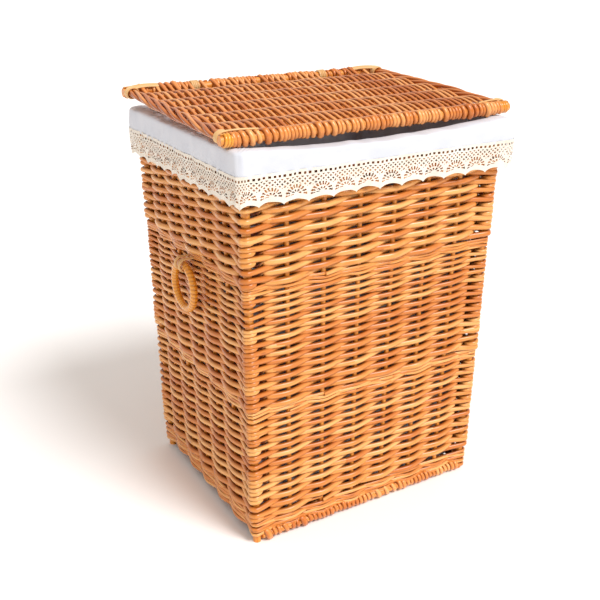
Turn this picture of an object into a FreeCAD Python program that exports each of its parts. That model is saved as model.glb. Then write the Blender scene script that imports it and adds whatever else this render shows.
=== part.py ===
"""Woven willow laundry basket with a hinged lid, two ring handles and a folded-over cloth liner.

The frame has +Z up, +X to the right and the front at -Y. The origin is on the floor, under the middle of
the basket. Lengths are in millimetres. Every size that can be set by itself is a cell of the sheet Dims.

The basket stands on four corner posts. The stakes rise between them, and the weave is a stack of bands round
posts and stakes: a foot wale, three rands with a wale between each two, and the border. Each band is a plain
wall of the weave's full thickness, bored where a post or a stake runs in it.
"""

import FreeCAD, Part
import math
import os
import Sketcher
from FreeCAD import Placement, Rotation, Vector

doc = FreeCAD.newDocument("laundry_basket")

# ---------------------------------------------------------------- driving dimensions

DIMENSIONS = [
    ("BottomWidth", 414, "outside width of the walls at the floor"),
    ("BottomDepth", 344, "outside depth of the walls at the floor"),
    ("TopWidth", 437, "outside width of the walls at the rim"),
    ("TopDepth", 361, "outside depth of the walls at the rim"),
    ("RimHeight", 600, "floor to the top of the border"),
    ("StakeDiameter", 7, "upright stakes"),
    ("WeaverDiameter", 6, "thickest of the rods woven round the stakes"),
    ("PostDiameter", 12, "corner posts"),
    ("FitClearance", 0.25, "between a rod and the weave round it"),
    ("FootWaleTop", 45, "top of the foot wale"),
    ("LowerWaleBottom", 212, "lower wale, on the first rand"),
    ("LowerWaleTop", 232, "lower wale, top"),
    ("MiddleWaleBottom", 402, "middle wale, on the second rand"),
    ("MiddleWaleTop", 420, "middle wale, top"),
    ("BorderHeight", 24, "height of the rolled border"),
    ("WaleProud", 0.8, "a wale stands out this far beyond the rand"),
    ("BorderProud", 4, "the border stands out this far"),
    ("BaseGap", 2, "floor to the underside of the base"),
    ("BaseThickness", 16, "woven base, over its sticks"),
    ("BaseEdgeStick", 11, "diameter of the base's front and back sticks"),
    ("BaseStick", 8, "diameter of the base's inner sticks"),
    ("LidOverhang", 16.5, "the lid's front and back sticks reach this far past the walls, each end"),
    ("LidWeaveOverhang", 3.5, "the lid's weave reaches this far past the walls, each side"),
    ("LidFrontInset", 19, "rim's outside to the lid's front stick, along Y"),
    ("LidThickness", 17, "woven lid, over its sticks"),
    ("LidEdgeStick", 13, "diameter of the lid's front and back sticks"),
    ("LidStick", 8, "diameter of the lid's inner sticks"),
    ("LidEdgeWeaver", 8, "diameter of the twisted rods along the lid's short sides"),
    ("LidTilt", 2.15, "degrees that the closed lid slopes down to the front"),
    ("BindingWidth", 9, "width of the lid's corner bindings"),
    ("BindingThickness", 1.75, "thickness of the lid's corner bindings"),
    ("HingeInset", 10, "rim's outside to the lid's hinge axis, along Y"),
    ("HingeRise", 24, "rim's top to the lid's hinge axis"),
    ("HingeReach", 60, "length of a hinge loop, centre to centre of its round ends"),
    ("HingeWidth", 14, "width of a hinge loop"),
    ("HingeBand", 3.5, "thickness of a hinge loop"),
    ("HingeSlack", 0.4, "between the lid's back stick and its loops"),
    ("HingeSideRoom", 1.2, "beside a hinge loop, in the lid's weave"),
    ("HandleRing", 82, "outside diameter of a ring handle"),
    ("HandleTube", 13, "diameter of the wrapped ring"),
    ("HandleCore", 8, "diameter of the ring's core"),
    ("HandleOverWale", 4, "a hanging ring reaches this far above the foot of the middle wale"),
    ("HandleGap", 2.5, "between the wall and the hanging ring"),
    ("HandleBand", 3, "thickness of the binding that holds a ring"),
    ("HandleBandWidth", 5, "width of each of the binding's two bands"),
    ("HandleBandClear", 0.9, "between each band and the stake that passes between them"),
    ("HandleSlack", 0.35, "between the ring and its binding"),
    ("ClothThickness", 1.2, "liner cloth with its seams"),
    ("ClothGap", 1, "between the walls and the liner inside them"),
    ("FoldGap", 0.5, "between the border and the liner folded over it"),
    ("CuffDrop", 34, "rim down to the hem of the folded cuff"),
    ("LaceHeight", 44, "height of the lace trim"),
    ("LaceOverlap", 4, "the lace covers this much of the cuff"),
    ("LaceThickness", 1, "lace trim"),
    ("LaceGap", 0.2, "between the cuff and the lace"),
    ("SlitRoom", 3, "the slit in the cloth at each hinge loop is this much wider than the loop, each side"),
]

FRONT_STAKES = 6
SIDE_STAKES = 5
BASE_STICKS = 5
LID_STICKS = 5

sheet = doc.addObject("Spreadsheet::Sheet", "Dims")
for row, (alias, value, meaning) in enumerate(DIMENSIONS, start=1):
    sheet.set(f"A{row}", meaning)
    sheet.set(f"B{row}", str(value))
    sheet.setAlias(f"B{row}", alias)
doc.recompute()


def size(alias):
    """The value of one cell of the sheet."""
    return float(sheet.get(alias))


# ---------------------------------------------------------------- expressions shared by several pieces

WALL = "(Dims.StakeDiameter+2*Dims.WeaverDiameter)"
POST_INSET = "(Dims.PostDiameter/2+Dims.WeaverDiameter)"
BASE_TOP = "(Dims.BaseGap+Dims.BaseThickness)"
BASE_MIDDLE = "(Dims.BaseGap+Dims.BaseThickness/2)"
BORDER_BOTTOM = "(Dims.RimHeight-Dims.BorderHeight)"
BEYOND = "2"  # a cutter reaches this far past what it cuts


def half_width(height, offset="0"):
    """Half the outside width of the walls at a height, with an offset outwards."""
    return f"(Dims.BottomWidth/2+(Dims.TopWidth-Dims.BottomWidth)/2*({height})/Dims.RimHeight+({offset}))"


def half_depth(height, offset="0"):
    """Half the outside depth of the walls at a height, with an offset outwards."""
    return f"(Dims.BottomDepth/2+(Dims.TopDepth-Dims.BottomDepth)/2*({height})/Dims.RimHeight+({offset}))"


HINGE_Y = half_depth("Dims.RimHeight", "-Dims.HingeInset")
HINGE_Z = "(Dims.RimHeight+Dims.HingeRise)"
LID_DEPTH = "(Dims.TopDepth-Dims.HingeInset-Dims.LidFrontInset)"
LID_LENGTH = "(Dims.TopWidth+2*Dims.LidOverhang)"
LID_WEAVE_LENGTH = "(Dims.TopWidth+2*Dims.LidWeaveOverhang)"
LID_TILT = "(Dims.LidTilt*1deg)"
HANDLE_Z = "(Dims.MiddleWaleBottom+Dims.HandleOverWale-Dims.HandleTube/2)"
HANDLE_X = half_width(HANDLE_Z, "Dims.HandleGap+Dims.HandleTube/2")
RING_RADIUS = "((Dims.HandleRing-Dims.HandleTube)/2)"
BAND_GAP = "(Dims.StakeDiameter+2*Dims.HandleBandClear)"
BAND_REACH = f"({BAND_GAP}/2+Dims.HandleBandWidth)"
RING_DIP = f"({RING_RADIUS}-sqrt({RING_RADIUS}*{RING_RADIUS}-{BAND_REACH}*{BAND_REACH}))"
BAND_BORE = f"(Dims.HandleTube/2+{RING_DIP}+Dims.HandleSlack)"
HINGE_BORE = "(Dims.LidEdgeStick/2+Dims.HingeSlack)"


def evaluate(expression):
    """The number that an expression of the sheet gives."""
    return float(doc.getObject("Dims").evalExpression(expression))


# ---------------------------------------------------------------- small builders

parts = []


def bind(thing, **expressions):
    """Ties properties of an object to expressions. A double underscore in a name stands for a dot."""
    for name, expression in expressions.items():
        thing.setExpression(name.replace("__", "."), expression)
    return thing


def keep(thing, label):
    """Names a finished sub-part. Its label names its file."""
    thing.Label = label
    parts.append(thing)
    return thing


def place(thing, x="0", y="0", z="0", turn=None):
    """Puts an object at a point given by expressions, turned by a rotation."""
    thing.Placement = Placement(Vector(evaluate(x), evaluate(y), evaluate(z)), turn or Rotation())
    return bind(thing, Placement__Base__x=x, Placement__Base__y=y, Placement__Base__z=z)


ALONG_X = Rotation(Vector(0, 1, 0), 90)
ALONG_Y = Rotation(Vector(1, 0, 0), -90)


def frustum(name, bottom, top, offset):
    """A block that follows the walls' taper from one height to another, offset outwards."""
    wedge = doc.addObject("Part::Wedge", name)
    bind(
        wedge,
        Ymin=bottom,
        Ymax=top,
        Xmin="-" + half_width(bottom, offset),
        Xmax=half_width(bottom, offset),
        X2min="-" + half_width(top, offset),
        X2max=half_width(top, offset),
        Zmin="-" + half_depth(bottom, offset),
        Zmax=half_depth(bottom, offset),
        Z2min="-" + half_depth(top, offset),
        Z2max=half_depth(top, offset),
    )
    wedge.Placement = Placement(Vector(), Rotation(Vector(1, 0, 0), 90))
    return wedge


def rounded_frustum(name, bottom, top, offset, radius):
    """A frustum whose four upright edges are rounded."""
    wedge = frustum(name + "_block", bottom, top, offset)
    doc.recompute()
    fillet = doc.addObject("Part::Fillet", name)
    fillet.Base = wedge
    rounding = evaluate(radius)
    upright = [
        number
        for number, edge in enumerate(wedge.Shape.Edges, start=1)
        if abs(edge.Vertexes[0].Point.z - edge.Vertexes[1].Point.z) > 0.5 * edge.Length
    ]
    fillet.Edges = [(number, rounding, rounding) for number in upright]
    return fillet


def cut(name, base, tool):
    """One object less another."""
    result = doc.addObject("Part::Cut", name)
    result.Base = base
    result.Tool = tool
    return result


def fuse(name, pieces):
    """Several objects joined."""
    result = doc.addObject("Part::MultiFuse", name)
    result.Shapes = pieces
    return result


def group(name, pieces):
    """Several separate solids in one object."""
    result = doc.addObject("Part::Compound", name)
    result.Links = pieces
    return result


def wall_ring(name, bottom, top, outwards, inwards, radius):
    """A closed wall round the basket between two heights, from one offset to another."""
    outer = rounded_frustum(name + "_outer", bottom, top, outwards, radius)
    inner_radius = f"max(1;({radius})-({outwards})+({inwards}))"
    low, high = f"({bottom})-{BEYOND}", f"({top})+{BEYOND}"
    inner = rounded_frustum(name + "_inner", low, high, inwards, inner_radius)
    return cut(name + "_wall", outer, inner)


def rod(name, start, end, radius):
    """A straight round rod between two points, with level ends. Points and radius are expressions."""
    circle = doc.addObject("Part::Circle", name + "_section")
    bind(circle, Radius=radius)
    place(circle, *start)
    length = "sqrt(" + "+".join(f"(({b})-({a}))^2" for a, b in zip(start, end)) + ")"
    rise = doc.addObject("Part::Extrusion", name)
    rise.Base = circle
    rise.DirMode = "Custom"
    rise.Solid = True
    bind(
        rise,
        Dir__x=f"({end[0]})-({start[0]})",
        Dir__y=f"({end[1]})-({start[1]})",
        Dir__z=f"({end[2]})-({start[2]})",
        LengthFwd=length,
    )
    return rise


def bar(name, radius, length, x, y, z, turn=ALONG_X):
    """A round bar of a given length, starting at a point, along X unless turned."""
    cylinder = doc.addObject("Part::Cylinder", name)
    bind(cylinder, Radius=radius, Height=length)
    return place(cylinder, x, y, z, turn)


def box(name, length, width, height, x, y, z):
    """A box with its lowest corner at a point."""
    block = doc.addObject("Part::Box", name)
    bind(block, Length=length, Width=width, Height=height)
    return place(block, x, y, z)


# ---------------------------------------------------------------- posts and stakes


def corner_x(height, side):
    return f"({side}*{half_width(height, '-' + POST_INSET)})"


def corner_y(height, side):
    return f"({side}*{half_depth(height, '-' + POST_INSET)})"


def post_ends(side_x, side_y, low, high):
    """The two ends of a corner post, as expressions."""
    return [(corner_x(z, side_x), corner_y(z, side_y), z) for z in (low, high)]


def stake_ends(wall, share, low, high):
    """The two ends of a stake in a wall. share runs from -1 to 1 between the corner posts."""
    ends = []
    for z in (low, high):
        if wall in ("front", "back"):
            side = -1 if wall == "front" else 1
            x = f"({share}*{half_width(z, '-' + POST_INSET)})"
            y = f"({side}*{half_depth(z, '-' + WALL + '/2')})"
        else:
            side = -1 if wall == "left" else 1
            x = f"({side}*{half_width(z, '-' + WALL + '/2')})"
            y = f"({share}*{half_depth(z, '-' + POST_INSET)})"
        ends.append((x, y, z))
    return ends


def shares(count):
    """Places of equally spaced stakes between two posts, from -1 to 1."""
    return [round(2 * n / (count + 1) - 1, 9) for n in range(1, count + 1)]


HINGE_SHARE = (shares(FRONT_STAKES)[-2] + shares(FRONT_STAKES)[-1]) / 2
HINGE_X = f"({HINGE_SHARE:.6f}*{half_width('Dims.RimHeight', '-' + POST_INSET)})"


def posts_and_stakes():
    """Makes the corner posts and the stakes. Returns the cutters for the bores that they run in."""
    cutters = []
    post_radius, stake_radius = "Dims.PostDiameter/2", "Dims.StakeDiameter/2"
    for depth_name, side_y in (("front", -1), ("back", 1)):
        for width_name, side_x in (("left", -1), ("right", 1)):
            label = f"corner_post_{depth_name}_{width_name}"
            keep(rod(label, *post_ends(side_x, side_y, "0", BORDER_BOTTOM), post_radius), label)
            ends = post_ends(side_x, side_y, f"-{BEYOND}", BORDER_BOTTOM)
            cutters.append(rod(label + "_bore", *ends, post_radius + "+Dims.FitClearance"))
    for wall, count in (
        ("front", FRONT_STAKES),
        ("back", FRONT_STAKES),
        ("left", SIDE_STAKES),
        ("right", SIDE_STAKES),
    ):
        for number, share in enumerate(shares(count), start=1):
            label = f"{wall}_stake_{number}"
            ends = stake_ends(wall, share, BASE_TOP, BORDER_BOTTOM)
            keep(rod(label, *ends, stake_radius), label)
            cutters.append(rod(label + "_bore", *ends, stake_radius + "+Dims.FitClearance"))
    return group("rod_bores", cutters)


# ---------------------------------------------------------------- loops of binding


def slot_block(name, radius, length, width):
    """A block with two round ends: centres at the origin and at -length on X, thickness along Z."""
    near = bar(name + "_near", radius, width, "0", "0", f"-({width})/2", Rotation())
    far = bar(name + "_far", radius, width, f"-({length})", "0", f"-({width})/2", Rotation())
    middle = box(
        name + "_middle", length, f"2*({radius})", width, f"-({length})", f"-({radius})", f"-({width})/2"
    )
    return fuse(name, [near, far, middle])


def band_loop(name, bore, band, length, width, room="0"):
    """A flat loop of binding round a rod at the origin. room swells it on every side, for a cutter."""
    outer = slot_block(name + "_outside", f"{bore}+{band}+{room}", length, f"{width}+2*{room}")
    inner = slot_block(name + "_inside", f"{bore}-{room}", length, f"{width}+2*{room}+{BEYOND}")
    return cut(name, outer, inner)


LOOP_DOWN = Rotation(Vector(0, 0, 1), Vector(0, 1, 0), Vector(-1, 0, 0), "ZXY")
LOOP_INTO_LEFT = Rotation(Vector(-1, 0, 0), Vector(0, 0, 1), Vector(0, 1, 0), "ZXY")
LOOP_INTO_RIGHT = Rotation(Vector(1, 0, 0), Vector(0, 0, 1), Vector(0, -1, 0), "ZXY")


def hinge_loops():
    """Two loops that tie the lid's back stick to the rim. Returns their cutters."""
    cutters = []
    for side_name, side in (("left", -1), ("right", 1)):
        label = f"{side_name}_hinge_loop"
        for name, room in ((label, "0"), (label + "_channel", "Dims.FitClearance")):
            loop = band_loop(
                name, HINGE_BORE, "Dims.HingeBand", "Dims.HingeReach", "Dims.HingeWidth", room
            )
            place(loop, f"{side}*{HINGE_X}", HINGE_Y, HINGE_Z, LOOP_DOWN)
            if room == "0":
                keep(loop, label)
            else:
                cutters.append(loop)
    return cutters


def handle_bindings():
    """The bands that hold each ring handle, two beside the middle stake. Returns their cutters."""
    reach = f"({HANDLE_X}-{half_width(HANDLE_Z, '-' + WALL)}-{BAND_BORE}-Dims.HandleBand-Dims.ClothGap)"
    spread = f"({BAND_GAP}+Dims.HandleBandWidth)/2"
    cutters = []
    for side_name, side, turn in (("left", -1, LOOP_INTO_LEFT), ("right", 1, LOOP_INTO_RIGHT)):
        for suffix, room in (("binding", "0"), ("channel", "Dims.FitClearance")):
            bands = []
            for place_name, where in (("front", -1), ("back", 1)):
                name = f"{side_name}_handle_{suffix}_{place_name}"
                band = band_loop(name, BAND_BORE, "Dims.HandleBand", reach, "Dims.HandleBandWidth", room)
                bands.append(place(band, f"{side}*{HANDLE_X}", f"{where}*{spread}", HANDLE_Z, turn))
            both = group(f"{side_name}_handle_{suffix}_pair", bands)
            if room == "0":
                keep(both, f"{side_name}_handle_binding")
            else:
                cutters.append(both)
    return cutters


# ---------------------------------------------------------------- walls


def foot_skirts():
    """The foot wale's lowest rows along the two sides, which close the base's ends between the posts."""
    reach = half_depth("0", f"-{POST_INSET}-Dims.PostDiameter/2-Dims.FitClearance")
    outer, inner = half_width("0"), half_width("0", f"-{WALL}/2")
    bottom = f"({BASE_MIDDLE}-Dims.BaseThickness/2)"
    return [
        box(f"{name}_foot_skirt", f"{WALL}/2", f"2*{reach}", f"{BASE_TOP}-{bottom}", x, f"-{reach}", bottom)
        for name, x in (("left", f"-{outer}"), ("right", inner))
    ]


def woven_walls(bores, hinge_channels, handle_channels):
    """The bands of weave and the border, bored for posts and stakes and slotted for the bindings."""
    bands = [
        ("foot_wale", BASE_TOP, "Dims.FootWaleTop", "Dims.WaleProud"),
        ("lower_weave", "Dims.FootWaleTop", "Dims.LowerWaleBottom", "0"),
        ("lower_wale", "Dims.LowerWaleBottom", "Dims.LowerWaleTop", "Dims.WaleProud"),
        ("middle_weave", "Dims.LowerWaleTop", "Dims.MiddleWaleBottom", "0"),
        ("middle_wale", "Dims.MiddleWaleBottom", "Dims.MiddleWaleTop", "Dims.WaleProud"),
        ("upper_weave", "Dims.MiddleWaleTop", BORDER_BOTTOM, "0"),
        ("top_border", BORDER_BOTTOM, "Dims.RimHeight", "Dims.BorderProud"),
    ]
    for label, bottom, top, proud in bands:
        ring = wall_ring(label, bottom, top, proud, f"-{WALL}", f"{POST_INSET}+({proud})")
        if label == "foot_wale":
            ring = fuse("foot_wale_with_skirts", [ring] + foot_skirts())
        tools = []
        if label != "top_border":
            tools.append(bores)
        if evaluate(top) > evaluate(HANDLE_Z) - 20 and evaluate(bottom) < evaluate(HANDLE_Z) + 20:
            tools += handle_channels
        if evaluate(top) > evaluate(HINGE_Z) - evaluate("Dims.HingeReach") - 20:
            tools += hinge_channels
        for number, tool in enumerate(tools):
            ring = cut(f"{label}_cut_{number}", ring, tool)
        keep(ring, label)


# ---------------------------------------------------------------- woven panels on sticks


def woven_panel(name, half_length, half_thickness, edge_bore, inner_bore, inner_count, length):
    """A woven slab with rounded front and back edges and a bore for each stick, padded along X.

    The profile is drawn in the YZ plane about the slab's middle.
    """
    body = doc.addObject("PartDesign::Body", name + "_body")
    sketch = body.newObject("Sketcher::SketchObject", name + "_profile")
    plane = [f for f in body.Origin.OriginFeatures if f.Role == "YZ_Plane"][0]
    sketch.AttachmentSupport = (plane, [""])
    sketch.MapMode = "FlatFace"
    reach, thick = evaluate(half_length), evaluate(half_thickness)
    up, down = Vector(0, thick, 0), Vector(0, -thick, 0)
    left, right = Vector(-reach, 0, 0), Vector(reach, 0, 0)
    normal = Vector(0, 0, 1)
    top = sketch.addGeometry(Part.LineSegment(right + up, left + up), False)
    quarter = math.pi / 2
    turn_left = sketch.addGeometry(
        Part.ArcOfCircle(Part.Circle(left, normal, thick), quarter, 3 * quarter), False
    )
    bottom = sketch.addGeometry(Part.LineSegment(left + down, right + down), False)
    turn_right = sketch.addGeometry(
        Part.ArcOfCircle(Part.Circle(right, normal, thick), -quarter, quarter), False
    )
    for first, second in ((top, turn_left), (turn_left, bottom), (bottom, turn_right), (turn_right, top)):
        sketch.addConstraint(Sketcher.Constraint("Tangent", first, 2, second, 1))
    for arc, side in ((turn_left, -1), (turn_right, 1)):
        sketch.addConstraint(Sketcher.Constraint("PointOnObject", arc, 3, -1))
        start, end = ((arc, 3), (-1, 1)) if side < 0 else ((-1, 1), (arc, 3))
        number = sketch.addConstraint(Sketcher.Constraint("DistanceX", *start, *end, reach))
        sketch.setExpression(f"Constraints[{number}]", half_length)
    number = sketch.addConstraint(Sketcher.Constraint("Radius", turn_left, thick))
    sketch.setExpression(f"Constraints[{number}]", half_thickness)
    for share in [-1] + shares(inner_count) + [1]:
        bore = edge_bore if abs(share) == 1 else inner_bore
        centre = Vector(share * reach, 0, 0)
        hole = sketch.addGeometry(Part.Circle(centre, normal, evaluate(bore)), False)
        sketch.addConstraint(Sketcher.Constraint("PointOnObject", hole, 3, -1))
        number = sketch.addConstraint(Sketcher.Constraint("Radius", hole, evaluate(bore)))
        sketch.setExpression(f"Constraints[{number}]", bore)
        if share:
            start, end = ((hole, 3), (-1, 1)) if share < 0 else ((-1, 1), (hole, 3))
            number = sketch.addConstraint(
                Sketcher.Constraint("DistanceX", *start, *end, abs(share) * reach)
            )
            sketch.setExpression(f"Constraints[{number}]", f"{abs(share)}*{half_length}")
        else:
            sketch.addConstraint(Sketcher.Constraint("PointOnObject", hole, 3, -2))
    pad = body.newObject("PartDesign::Pad", name + "_pad")
    pad.Profile = sketch
    pad.Midplane = True
    bind(pad, Length=length)
    body.Tip = pad
    return body


def base(bores):
    """The woven base on its sticks, let in between the corner posts."""
    axis_y = half_depth(BASE_MIDDLE, "-Dims.BaseThickness/2-Dims.FitClearance")
    gap = "Dims.FitClearance"
    inside_skirts = half_width("0", f"-{WALL}/2-{gap}")
    weave = woven_panel(
        "base_weave",
        axis_y,
        "Dims.BaseThickness/2",
        f"Dims.BaseEdgeStick/2+{gap}",
        f"Dims.BaseStick/2+{gap}",
        BASE_STICKS,
        f"2*{inside_skirts}",
    )
    place(weave, z=BASE_MIDDLE)
    keep(cut("base_weave_notched", weave, bores), "base_weave")
    between_posts = half_width("0", f"-{POST_INSET}-Dims.PostDiameter/2-2*{gap}")
    for label, side in (("base_front_stick", -1), ("base_back_stick", 1)):
        stick = bar(
            label, "Dims.BaseEdgeStick/2", f"2*{between_posts}", f"-{between_posts}", f"{side}*{axis_y}",
            BASE_MIDDLE,
        )
        keep(stick, label)
    inner = [
        bar(
            f"base_stick_{number}", "Dims.BaseStick/2", f"2*{inside_skirts}", f"-{inside_skirts}",
            f"{share}*{axis_y}", BASE_MIDDLE,
        )
        for number, share in enumerate(shares(BASE_STICKS), start=1)
    ]
    keep(group("base_inner_sticks", inner), "base_sticks")


def lay_on_lid(thing, y="0", x="0", turn=None):
    """Places a piece on the tilted lid, y from the hinge axis in the lid's own plane."""
    return place(
        thing, x, f"{HINGE_Y}+({y})*cos({LID_TILT})", f"{HINGE_Z}+({y})*sin({LID_TILT})", turn
    )


def tilt_with_lid(thing):
    """Places something that was drawn flat about the hinge axis."""
    lay_on_lid(thing, turn=Rotation(Vector(1, 0, 0), size("LidTilt")))
    return bind(thing, Placement__Rotation__Angle=LID_TILT)


def lid_stick(label, radius, length, y):
    """A stick along X, centred, at a distance y from the hinge axis."""
    stick = bar(label, radius, length, f"-{length}/2", "0", "0")
    lay_on_lid(stick, y, f"-{length}/2", ALONG_X)
    keep(stick, label)


def lid():
    """The woven lid. Its back stick lies on the hinge axis, and it slopes down to the front when closed."""
    gap = "Dims.FitClearance"
    weave = woven_panel(
        "lid_weave",
        f"{LID_DEPTH}/2",
        "Dims.LidThickness/2",
        f"Dims.LidEdgeStick/2+{gap}",
        f"Dims.LidStick/2+{gap}",
        LID_STICKS,
        LID_WEAVE_LENGTH,
    )
    place(weave, y=f"-{LID_DEPTH}/2")
    notch_width = "(Dims.HingeWidth+2*Dims.HingeSideRoom)"
    notch_depth = f"({HINGE_BORE}+Dims.HingeBand+Dims.HingeSideRoom)"
    notches = [
        box(
            f"lid_notch_{name}",
            notch_width,
            f"2*{notch_depth}",
            "2*Dims.LidThickness",
            f"{side}*{HINGE_X}-{notch_width}/2",
            f"-{notch_depth}",
            "-Dims.LidThickness",
        )
        for name, side in (("left", -1), ("right", 1))
    ]
    notched = cut("lid_weave_notched", weave, group("lid_notches", notches))
    keep(tilt_with_lid(notched), "lid_weave")

    lid_stick("lid_front_stick", "Dims.LidEdgeStick/2", LID_LENGTH, f"-{LID_DEPTH}")
    lid_stick("lid_back_stick", "Dims.LidEdgeStick/2", LID_LENGTH, "0")
    for number, share in enumerate(shares(LID_STICKS), start=1):
        y = f"({share}-1)*{LID_DEPTH}/2"
        lid_stick(f"lid_stick_{number}", "Dims.LidStick/2", LID_WEAVE_LENGTH, y)

    edge_x = f"({LID_WEAVE_LENGTH}/2+Dims.LidEdgeWeaver/2+{gap})"
    edge_end = f"(Dims.LidEdgeStick/2+Dims.BindingThickness+2*{gap})"
    for name, side in (("left", -1), ("right", 1)):
        label = f"lid_{name}_edge_rods"
        rods = bar(label, "Dims.LidEdgeWeaver/2", f"{LID_DEPTH}-2*{edge_end}", "0", "0", "0", ALONG_Y)
        upright_to_lid = Rotation(Vector(-1, 0, 0), 90 - size("LidTilt"))
        lay_on_lid(rods, f"{edge_end}-{LID_DEPTH}", f"{side}*{edge_x}", upright_to_lid)
        bind(rods, Placement__Rotation__Angle=f"90deg-{LID_TILT}")
        keep(rods, label)

    rings = []
    inner = f"Dims.LidEdgeStick/2+{gap}"
    binding_x = f"({LID_WEAVE_LENGTH}/2+{gap}+Dims.BindingWidth/2)"
    for depth_name, y in (("front", f"-{LID_DEPTH}"), ("back", "0")):
        for width_name, side in (("left", -1), ("right", 1)):
            name = f"lid_binding_{depth_name}_{width_name}"
            start = f"{side}*{binding_x}-Dims.BindingWidth/2"
            outer = f"{inner}+Dims.BindingThickness"
            outside = bar(name + "_outside", outer, "Dims.BindingWidth", start, y, "0")
            length = f"Dims.BindingWidth+2*{BEYOND}"
            inside = bar(name + "_inside", inner, length, f"{start}-{BEYOND}", y, "0")
            rings.append(cut(name, outside, inside))
    keep(tilt_with_lid(group("lid_binding_rings", rings)), "lid_corner_bindings")


# ---------------------------------------------------------------- handles


def handles():
    """Two ring handles: a bent core with a wrapping round it, hanging plumb from their bindings."""
    ring_z = f"{HANDLE_Z}-{RING_RADIUS}"
    for side_name, side in (("left", -1), ("right", 1)):
        tori = {}
        for name, tube in (
            ("core", "Dims.HandleCore/2"),
            ("wrap_inside", "Dims.HandleCore/2+Dims.FitClearance"),
            ("wrap_outside", "Dims.HandleTube/2"),
        ):
            torus = doc.addObject("Part::Torus", f"{side_name}_handle_{name}")
            bind(torus, Radius1=RING_RADIUS, Radius2=tube)
            place(torus, f"{side}*{HANDLE_X}", "0", ring_z, ALONG_X)
            tori[name] = torus
        keep(tori["core"], f"{side_name}_handle_core")
        wrap = cut(f"{side_name}_handle_wrapping", tori["wrap_outside"], tori["wrap_inside"])
        keep(wrap, f"{side_name}_handle_wrap")


# ---------------------------------------------------------------- liner


def liner():
    """The cloth bag with its top folded out over the border, and the lace sewn to the fold's hem."""
    cloth = "Dims.ClothThickness"
    bag_out = f"-{WALL}-Dims.ClothGap"
    bag_in = f"{bag_out}-{cloth}"
    cuff_in = "Dims.BorderProud+Dims.FoldGap"
    cuff_out = f"{cuff_in}+{cloth}"
    floor = f"({BASE_TOP}+Dims.ClothGap)"
    fold_under = "(Dims.RimHeight+Dims.FoldGap)"
    fold_top = f"({fold_under}+{cloth})"
    hem = "(Dims.RimHeight-Dims.CuffDrop)"
    bag_outer = frustum("bag_outer", floor, fold_top, bag_out)
    bag_inner = frustum("bag_inner", f"{floor}+{cloth}", f"{fold_top}+{BEYOND}", bag_in)
    bag = cut("bag", bag_outer, bag_inner)
    cap_outer = rounded_frustum("cap_outer", hem, fold_top, cuff_out, f"{POST_INSET}+{cuff_out}")
    cap_under = rounded_frustum(
        "cap_under", f"{hem}-{BEYOND}", fold_under, cuff_in, f"{POST_INSET}+{cuff_in}"
    )
    cap_mouth = frustum("cap_mouth", f"{fold_under}-{BEYOND}", f"{fold_top}+{BEYOND}", bag_in)
    cap = cut("cap", cap_outer, fuse("cap_hollow", [cap_under, cap_mouth]))
    whole = fuse("liner_sewn", [bag, cap])
    slit_width = "(Dims.HingeWidth+2*Dims.SlitRoom)"
    slit_bottom = f"({HINGE_Z}-Dims.HingeReach-{HINGE_BORE}-Dims.HingeBand-{BEYOND})"
    outer_slit_bottom = f"({hem}+Dims.LaceOverlap-Dims.LaceHeight-{BEYOND})"
    inner_y = half_depth("Dims.RimHeight", f"-1.5*{WALL}")
    between_y = half_depth("Dims.RimHeight", cuff_in + "-Dims.FoldGap")
    slits = []
    for name, side in (("left", -1), ("right", 1)):
        for place_name, y, bottom in (
            ("inside", inner_y, slit_bottom),
            ("outside", between_y, outer_slit_bottom),
        ):
            slit = box(
                f"hinge_slit_{name}_{place_name}",
                slit_width,
                f"2*{WALL}",
                f"{fold_top}-{bottom}+{BEYOND}",
                f"{side}*{HINGE_X}-{slit_width}/2",
                y,
                bottom,
            )
            slits.append(slit)
    cutters = fuse("hinge_slits", slits)
    keep(cut("liner_slit", whole, cutters), "liner_bag")
    lace_top = f"({hem}+Dims.LaceOverlap)"
    lace_in = f"{cuff_out}+Dims.LaceGap"
    lace_out = f"{lace_in}+Dims.LaceThickness"
    lace = wall_ring(
        "lace", f"{lace_top}-Dims.LaceHeight", lace_top, lace_out, lace_in, f"{POST_INSET}+{lace_out}"
    )
    keep(cut("lace_slit", lace, cutters), "lace_trim")


# ---------------------------------------------------------------- build, check and write

rod_bores = posts_and_stakes()
hinge_channels = hinge_loops()
handle_channels = handle_bindings()
woven_walls(rod_bores, hinge_channels, handle_channels)
base(rod_bores)
lid()
handles()
liner()
doc.recompute()

for thing in doc.Objects:
    if "Invalid" in thing.State or "Error" in thing.State:
        raise RuntimeError(f"{thing.Name} did not build: {thing.State}")
for part in parts:
    shape = part.Shape
    if shape.isNull() or not shape.isValid() or not shape.Solids:
        raise RuntimeError(f"{part.Label} has no valid solid")

os.makedirs("parts", exist_ok=True)
for part in parts:
    part.Shape.exportStep(os.path.join("parts", part.Label + ".step"))
    box_size = part.Shape.BoundBox
    print(
        f"{part.Label}: {len(part.Shape.Solids)} solids, {part.Shape.Volume / 1000:.1f} cm3,"
        f" z {box_size.ZMin:.1f} to {box_size.ZMax:.1f}"
    )
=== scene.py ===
"""Looks for a woven willow laundry basket with a hinged lid, ring handles and a cotton liner with lace.

The weave is drawn as it is worked: each rod is a line of points that passes in front of or behind the stakes,
and one Geometry Nodes tree turns all lines into rods. Sizes are in millimetres until they reach a mesh.
"""

import math
import random

import bmesh
import bpy
from mathutils import Matrix, Vector, noise


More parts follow.
